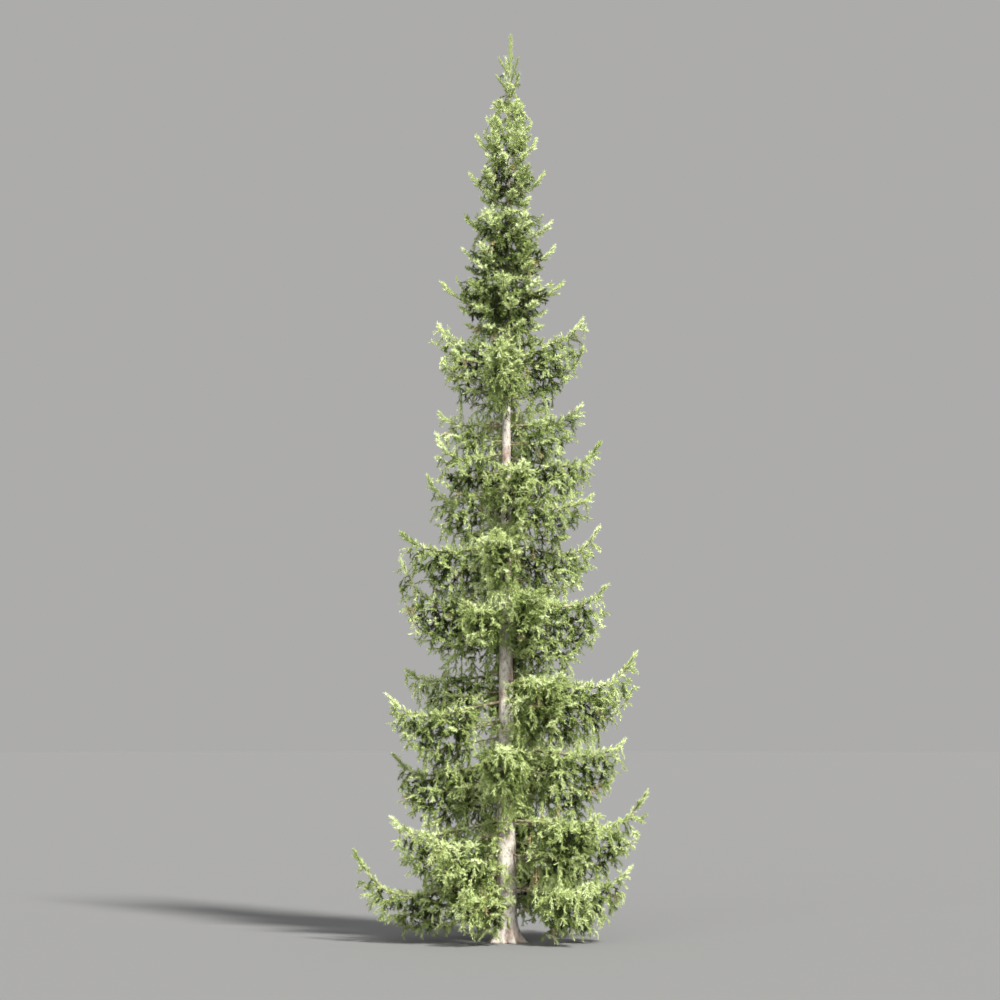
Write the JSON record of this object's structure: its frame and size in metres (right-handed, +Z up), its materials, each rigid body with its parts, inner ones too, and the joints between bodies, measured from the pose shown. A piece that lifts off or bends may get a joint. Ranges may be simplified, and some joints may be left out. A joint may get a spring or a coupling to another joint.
{
  "type": "spruce tree",
  "caption": "Tall, narrow spruce standing rooted in level ground: one straight trunk with a root flare, sagging boughs whose tips turn up, and hanging curtains of light green needles.",
  "frame": {"origin": "middle of the flat cut under the trunk, at ground level", "axes": "+Z up the trunk, -Y towards the front of the tree, +X towards its right side as seen from the front"},
  "size_m": [5.1311, 4.0275, 16],
  "materials": {
    "bark": "whitish grey bark in thin scales with red-brown patches",
    "bough_bark": "grey-brown bark, rough",
    "needles": "light sage-green needles, matte, darker inside the crown"
  },
  "bodies": {
    "root": {"bough_fourth_front": "bough_bark", "bough_fourth_left": "bough_bark", "bough_fourth_right": "bough_bark", "bough_low_front_right": "bough_bark", "bough_low_left": "bough_bark", "bough_low_right": "bough_bark", "bough_second_front_right": "bough_bark", "bough_second_left": "bough_bark", "bough_second_right": "bough_bark", "bough_third_front": "bough_bark", "bough_third_left": "bough_bark", "bough_third_right": "bough_bark", "needles_eighth_back": "needles", "needles_eighth_front": "needles", "needles_eighth_left": "needles", "needles_eighth_right": "needles", "needles_eleventh": "needles", "needles_fifth_back": "needles", "needles_fifth_front": "needles", "needles_fifth_front_right": "needles", "needles_fifth_left": "needles", "needles_fifth_right": "needles", "needles_fourth_back": "needles", "needles_fourth_front": "needles", "needles_fourth_left": "needles", "needles_fourth_left_rear": "needles", "needles_fourth_right": "needles", "needles_low_back_left": "needles", "needles_low_back_right": "needles", "needles_low_front_left": "needles", "needles_low_front_right": "needles", "needles_low_left": "needles", "needles_low_right": "needles", "needles_ninth_back": "needles", "needles_ninth_left": "needles", "needles_ninth_right": "needles", "needles_second_back": "needles", "needles_second_front_left": "needles", "needles_second_front_right": "needles", "needles_second_left": "needles", "needles_second_right": "needles", "needles_seventh_left": "needles", "needles_seventh_right": "needles", "needles_sixth_back": "needles", "needles_sixth_front": "needles", "needles_sixth_left": "needles", "needles_sixth_right": "needles", "needles_spire": "needles", "needles_tenth_back": "needles", "needles_tenth_front": "needles", "needles_tenth_left": "needles", "needles_tenth_right": "needles", "needles_third_back": "needles", "needles_third_back_left": "needles", "needles_third_front": "needles", "needles_third_left": "needles", "needles_third_right": "needles", "needles_thirteenth": "needles", "needles_twelfth": "needles", "trunk": "bark"}
  },
  "joints": []
}
